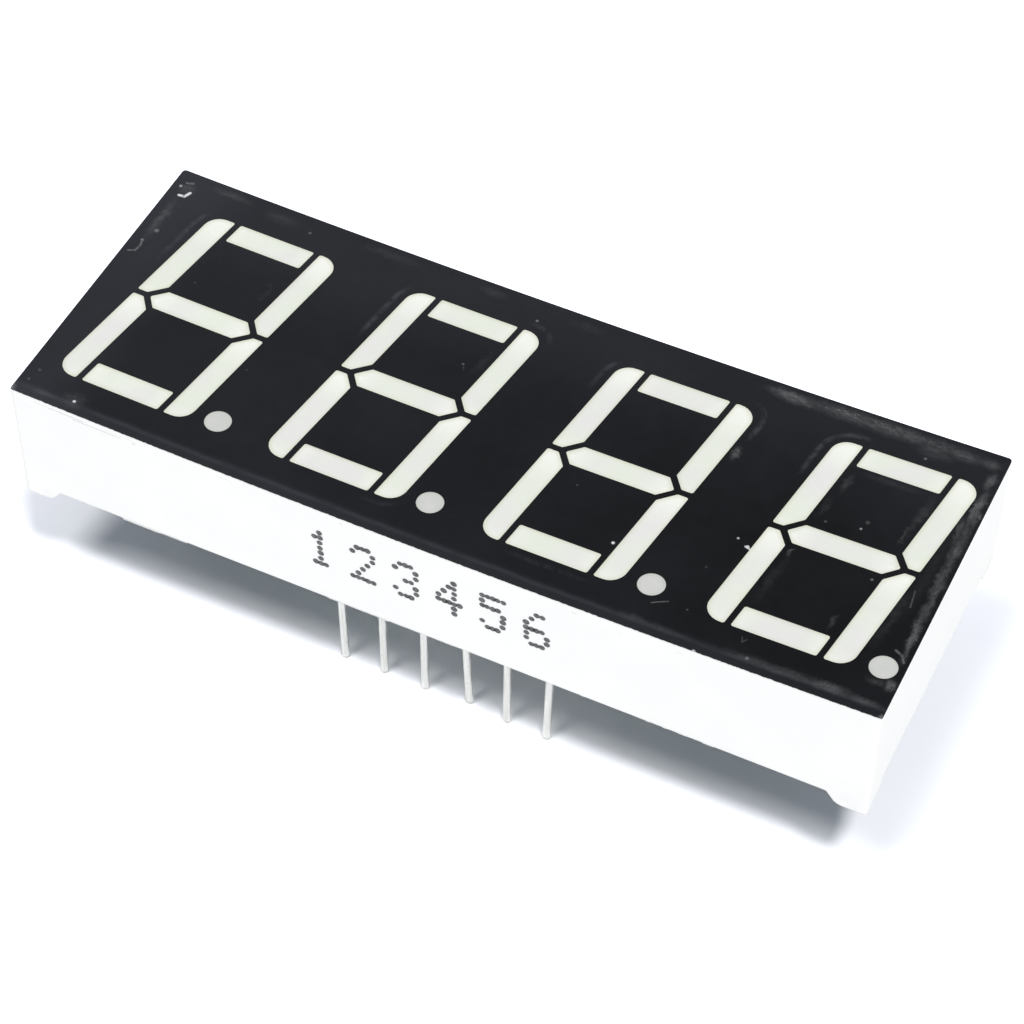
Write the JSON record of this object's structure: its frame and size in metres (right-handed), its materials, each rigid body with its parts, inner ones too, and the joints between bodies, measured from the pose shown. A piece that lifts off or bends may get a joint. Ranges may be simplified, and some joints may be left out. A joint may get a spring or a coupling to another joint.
{
  "type": "seven segment display module",
  "caption": "Flat rectangular display module with a black face, milky seven-segment digits and decimal points, corner feet and rows of through-hole pins.",
  "frame": {"origin": "centre of the grid of twelve pins, on the plane of the tips of the corner feet, where the module meets its board", "axes": "+X along the row of digits in reading order, +Y towards the top of the digits, +Z out of the printed face; the pins run along -Z"},
  "size_m": [0.0502, 0.019, 0.0149],
  "materials": {
    "case_white": "satin moulded",
    "face_black": "satin printed ink",
    "window_milky": "milky cast resin",
    "board_green": "solder mask over glass laminate",
    "copper": "etched copper under mask",
    "solder": "bright solder",
    "resin_clear": "clear cast resin",
    "pin_tin": "tinned wire",
    "chip_gold": "semiconductor chip with a metal contact",
    "wire_gold": "drawn gold wire"
  },
  "bodies": {
    "root": {"reflector_case": "case_white", "face_ink": "face_black", "circuit_board": "board_green", "chip_side_copper": "copper", "pin_side_copper": "copper", "solder_joints": "solder", "back_resin": "resin_clear", "pin_01": "pin_tin", "pin_02": "pin_tin", "pin_03": "pin_tin", "pin_04": "pin_tin", "pin_05": "pin_tin", "pin_06": "pin_tin", "pin_07": "pin_tin", "pin_08": "pin_tin", "pin_09": "pin_tin", "pin_10": "pin_tin", "pin_11": "pin_tin", "pin_12": "pin_tin", "digit_1_segment_a": "window_milky", "digit_1_segment_b": "window_milky", "digit_1_segment_c": "window_milky", "digit_1_segment_d": "window_milky", "digit_1_segment_e": "window_milky", "digit_1_segment_f": "window_milky", "digit_1_segment_g": "window_milky", "digit_2_segment_a": "window_milky", "digit_2_segment_b": "window_milky", "digit_2_segment_c": "window_milky", "digit_2_segment_d": "window_milky", "digit_2_segment_e": "window_milky", "digit_2_segment_f": "window_milky", "digit_2_segment_g": "window_milky", "digit_3_segment_a": "window_milky", "digit_3_segment_b": "window_milky", "digit_3_segment_c": "window_milky", "digit_3_segment_d": "window_milky", "digit_3_segment_e": "window_milky", "digit_3_segment_f": "window_milky", "digit_3_segment_g": "window_milky", "digit_4_segment_a": "window_milky", "digit_4_segment_b": "window_milky", "digit_4_segment_c": "window_milky", "digit_4_segment_d": "window_milky", "digit_4_segment_e": "window_milky", "digit_4_segment_f": "window_milky", "digit_4_segment_g": "window_milky", "digit_1_decimal_point": "window_milky", "digit_2_decimal_point": "window_milky", "digit_3_decimal_point": "window_milky", "digit_4_decimal_point": "window_milky", "digit_1_led_chips": "chip_gold", "digit_2_led_chips": "chip_gold", "digit_3_led_chips": "chip_gold", "digit_4_led_chips": "chip_gold", "digit_1_bond_wires": "wire_gold", "digit_2_bond_wires": "wire_gold", "digit_3_bond_wires": "wire_gold", "digit_4_bond_wires": "wire_gold"}
  },
  "joints": []
}
